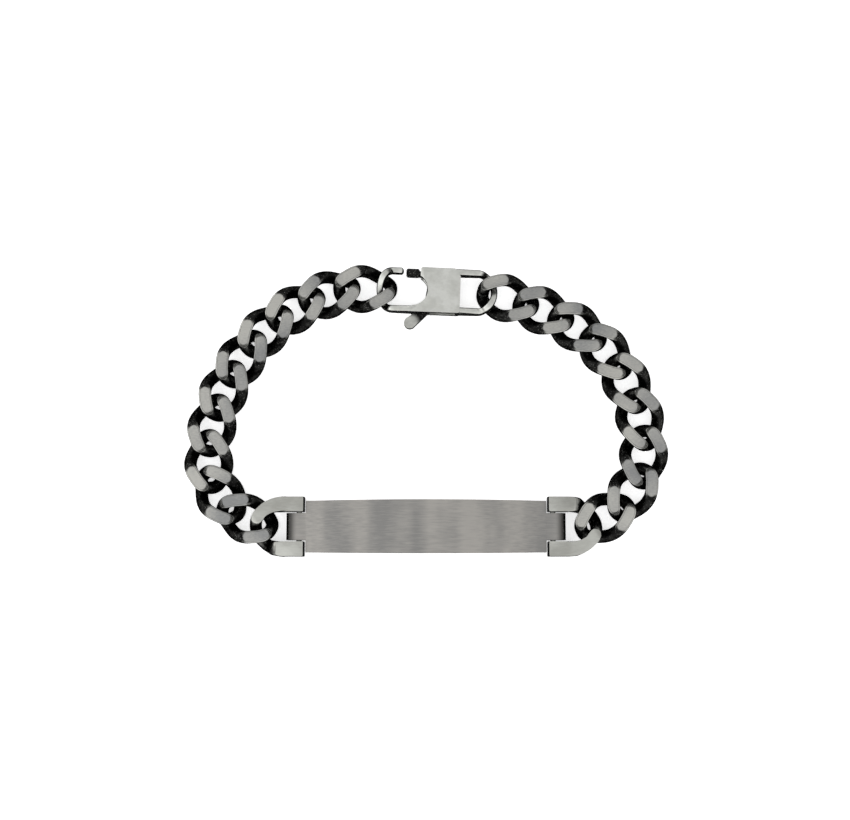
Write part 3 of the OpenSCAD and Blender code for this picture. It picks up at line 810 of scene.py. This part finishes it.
def clasp_frame():
    throat_x, throat_radius = BODY_LEFT - THROAT_SETBACK, CLASP_WIDTH / 2 - CLASP_BAR
    far, near = CLASP_WIDTH / 2, -CLASP_WIDTH / 2
    meet = math.degrees(math.acos(THROAT_SETBACK / throat_radius))
    outline = [(throat_x, near)]
    outline += arc((BODY_RIGHT - CORNER_RADIUS, near + CORNER_RADIUS), CORNER_RADIUS, -90, 0, BODY_CORNER_STEPS)
    outline += [(BODY_RIGHT, far - CORNER_DEPTH), (BODY_RIGHT - CORNER_LENGTH, far)]
    outline += arc((BODY_LEFT + CORNER_RADIUS, far - CORNER_RADIUS), CORNER_RADIUS, 90, 180, BODY_CORNER_STEPS)
    outline += arc((throat_x, 0), throat_radius, meet, -90)
    half = CLASP_HEIGHT / 2
    body = prism("body", outline, -half, half)
    turns = [90 - 180 * i / BEND_STEPS for i in range(BEND_STEPS + 1)]
    tip_x = HOOK_BEND_X + TIP_LENGTH
    tip_turns = [TIP_TURN * i / CORNER_STEPS for i in range(CORNER_STEPS + 1)]
    in_steps = [1 + (90 - a) / STEP_TURN for a in turns]
    inset = CLASP_BAR * ROOT_INSET
    hook = clasp_bar(
        "hook",
        [(BODY_LEFT + inset, -BAR_Y, 0)]
        + [eased(HOOK_BEND_X, -HOOK_DEPTH, -CLASP_WAVE, -a) for a in turns]
        + [(tip_x - TIP_ROUNDING * (1 - math.sin(math.radians(a))), BAR_Y, 0) for a in tip_turns],
        [0] + in_steps + [LAST_STEP] * len(tip_turns),
        [1] * (1 + len(in_steps)) + [math.cos(math.radians(a)) for a in tip_turns],
    )
    ring = clasp_bar(
        "ring",
        [(BODY_RIGHT - inset, BAR_Y, 0)]
        + [eased(RING_BEND_X, RING_DEPTH, CLASP_WAVE, a) for a in turns]
        + [(BODY_RIGHT - inset, -BAR_Y, 0)],
        [0] + [min(s, LAST_STEP - s) for s in in_steps] + [0],
        [1] * (2 + len(in_steps)),
    )
    slot_far = CLASP_WIDTH / 2 - FAR_WALL
    slot_left, slot_right = BODY_LEFT - SLOT_LEAD - PADDLE_ROOM, BODY_RIGHT - SLOT_WALL
    slot_near = near - SLOT_OVERCUT
    slot = prism(
        "slot", [(slot_left, slot_near), (slot_right, slot_near), (slot_right, slot_far), (slot_left, slot_far)],
        -SLOT_HALF, SLOT_HALF,
    )
    rivet_reach = SLOT_HALF + RIVET_SEAT + RIVET_CLEARANCE
    rivet_at = (BODY_LEFT + RIVET_INSET, far - RIVET_DROP)
    rim = circle(rivet_at, RIVET_DIAMETER / 2 + RIVET_CLEARANCE)
    seat = prism("seat", rim, -rivet_reach, rivet_reach)
    solid = combined(combined(body, [hook, ring], "UNION"), [slot, seat], "DIFFERENCE")
    place = Matrix.Translation(Vector((*(clasp_at + shift), CLASP_HEIGHT / 2)) * MM)
    solid.transform(place @ Matrix.Rotation(math.radians(clasp_angle), 4, "Z"))
    return without_slivers(softened(solid, CLASP_EDGE), in_triangles=True)


def gate_lever():
    """The lever, its thumb tab widening from the limb like a paddle."""
    knee, tab = Vector(KNEE), Vector(TAB)
    aside = turned((tab - knee).normalized(), 90)
    paddle = [
        knee + aside * LIMB_WIDTH / 2, tab + aside * TAB_WIDTH / 2,
        tab - aside * TAB_WIDTH / 2, knee - aside * LIMB_WIDTH / 2,
    ]
    outline = [turned(p, clasp_angle) + clasp_at + shift for p in paddle]
    middle = CLASP_HEIGHT / 2
    tab_mesh = prism("paddle", outline, middle - LEVER_THICKNESS / 2, middle + LEVER_THICKNESS / 2)
    return without_slivers(softened(combined(merged_copy("clasp_lever"), [tab_mesh], "UNION"), LEVER_EDGE))


dress("clasp_frame", clasp_frame(), "bracelet", "bright_steel", ["clasp_body"], cast_steel)
dress("gate_lever", gate_lever(), "lever", "lever_steel", ["clasp_lever"], stamped_steel)
dress(
    "lever_rivet", softened(merged_copy("clasp_rivet"), PIN_EDGE), "bracelet", "pin_steel", ["clasp_rivet"],
    drawn_steel,
)


# Floor, light and camera

# The floor's half side and thickness in millimetres, and how many spots its faint mottle has to a metre
FLOOR_HALF = 900
FLOOR_DEPTH = 20
FLOOR_MOTTLE = 60.0
# The light tent: the brightness overhead, its slopes along X and Y and its bounds; the brightness of the sides and
# its slope along Y; and how steep a direction is where the first begins to give way to the second, and has done so
TENT_TOP, TENT_TOP_X, TENT_TOP_Y = 0.86, -0.15, -1.0
TENT_TOP_BOUNDS = (0.4, 1.3)
TENT_SIDES, TENT_SIDES_Y = 1.15, -0.45
TENT_EDGE = (0.93, 0.55)
# The camera: the photograph's width and the shift in pixels, a pixel's size on the bracelet, the distance and the
# height it looks at in millimetres, its tilt from straight above in degrees, and the width of its sensor
PHOTO_WIDTH = 850
CAMERA_SHIFT = (-1.0, -0.75)
PIXEL_SIZE = 0.1862
CAMERA_DISTANCE = 275
LOOKED_AT = 1.5
CAMERA_TILT = 7.5
SENSOR_WIDTH = 36.0


def studio_floor():
    corners = [(x * FLOOR_HALF, y * FLOOR_HALF) for x, y in ((-1, -1), (1, -1), (1, 1), (-1, 1))]
    mesh = prism("floor", corners, -FLOOR_DEPTH, 0)
    floor = new_object("floor", mesh)
    material = bpy.data.materials.new("matt_white_board")
    material.use_nodes = True
    tree = material.node_tree
    shader = tree.nodes["Principled BSDF"]
    place = add(tree, "ShaderNodeTexCoord").outputs["Object"]
    mottle = add(tree, "ShaderNodeTexNoise", {"Vector": place, "Scale": FLOOR_MOTTLE, "Detail": 2.0})
    colour = add(tree, "ShaderNodeMix", {
        0: mottle.outputs[0], 6: linear("#F6F6F6"), 7: linear("#FAFAFA"),
    }, data_type="RGBA").outputs[2]
    tree.links.new(colour, shader.inputs["Base Color"])
    shader.inputs["Roughness"].default_value = 0.9
    shader.inputs["Specular IOR Level"].default_value = 0.1
    shader.inputs["Emission Color"].default_value = linear("#FFFFFF")
    shader.inputs["Emission Strength"].default_value = 0.6
    mesh.materials.append(material)


def soft_box(name, at, size, power):
    """A large area light, turned to the bracelet: its place and its two sides in metres, and its power in watts."""
    light = bpy.data.lights.new(name, "AREA")
    light.shape, light.size, light.size_y, light.energy = "RECTANGLE", size[0], size[1], power
    lamp = bpy.data.objects.new(name, light)
    bpy.context.scene.collection.objects.link(lamp)
    lamp.location = at
    lamp.rotation_euler = (-Vector(at)).to_track_quat("-Z", "Y").to_euler()


def studio_world():
    """A light tent: dim overhead, where the camera looks in, brighter round the sides and towards the near left."""
    world = bpy.data.worlds.new("studio")
    world.use_nodes = True
    tree = world.node_tree
    tree.nodes.clear()
    way = add(tree, "ShaderNodeTexCoord").outputs["Generated"]
    parts = add(tree, "ShaderNodeSeparateXYZ", {0: way}).outputs
    across = add(tree, "ShaderNodeMath", {
        0: parts[0], 1: TENT_TOP_X, 2: TENT_TOP,
    }, operation="MULTIPLY_ADD").outputs[0]
    overhead = add(tree, "ShaderNodeMath", {
        0: parts[1], 1: TENT_TOP_Y, 2: across,
    }, operation="MULTIPLY_ADD").outputs[0]
    least, most = TENT_TOP_BOUNDS
    top = add(tree, "ShaderNodeClamp", {0: overhead, 1: least, 2: most}).outputs[0]
    low = add(tree, "ShaderNodeMapRange", {
        "Value": parts[2], "From Min": TENT_EDGE[0], "From Max": TENT_EDGE[1], "To Min": 0.0, "To Max": 1.0,
    }, interpolation_type="SMOOTHSTEP").outputs[0]
    sides = add(tree, "ShaderNodeMath", {
        0: parts[1], 1: TENT_SIDES_Y, 2: TENT_SIDES,
    }, operation="MULTIPLY_ADD").outputs[0]
    level = add(tree, "ShaderNodeMix", {0: low, 2: top, 3: sides}, data_type="FLOAT").outputs[0]
    tent = add(tree, "ShaderNodeBackground", {"Color": linear("#FFFFFF"), "Strength": level})
    add(tree, "ShaderNodeOutputWorld", {0: tent.outputs[0]})
    bpy.context.scene.world = world


def photo_camera():
    """The photograph's view: a little in front of straight above."""
    camera = bpy.data.cameras.new("camera")
    camera.sensor_width = SENSOR_WIDTH
    camera.lens = SENSOR_WIDTH / (PHOTO_WIDTH * PIXEL_SIZE) * CAMERA_DISTANCE
    camera.clip_start, camera.clip_end = 0.01, 10
    seen = bpy.data.objects.new("camera", camera)
    bpy.context.scene.collection.objects.link(seen)
    tilt = math.radians(CAMERA_TILT)
    back = Vector((0, -math.sin(tilt), math.cos(tilt)))
    seen.location = Vector((0, 0, LOOKED_AT)) * MM + back * CAMERA_DISTANCE * MM
    seen.rotation_euler = (-back).to_track_quat("-Z", "Y").to_euler()
    camera.shift_x, camera.shift_y = (pixels / PHOTO_WIDTH for pixels in CAMERA_SHIFT)
    bpy.context.scene.camera = seen


studio_floor()
studio_world()
soft_box("left_window", (-0.9, 0.5, 0.65), (0.8, 0.6), 4.0)
photo_camera()
bpy.context.scene.view_settings.view_transform = "Standard"
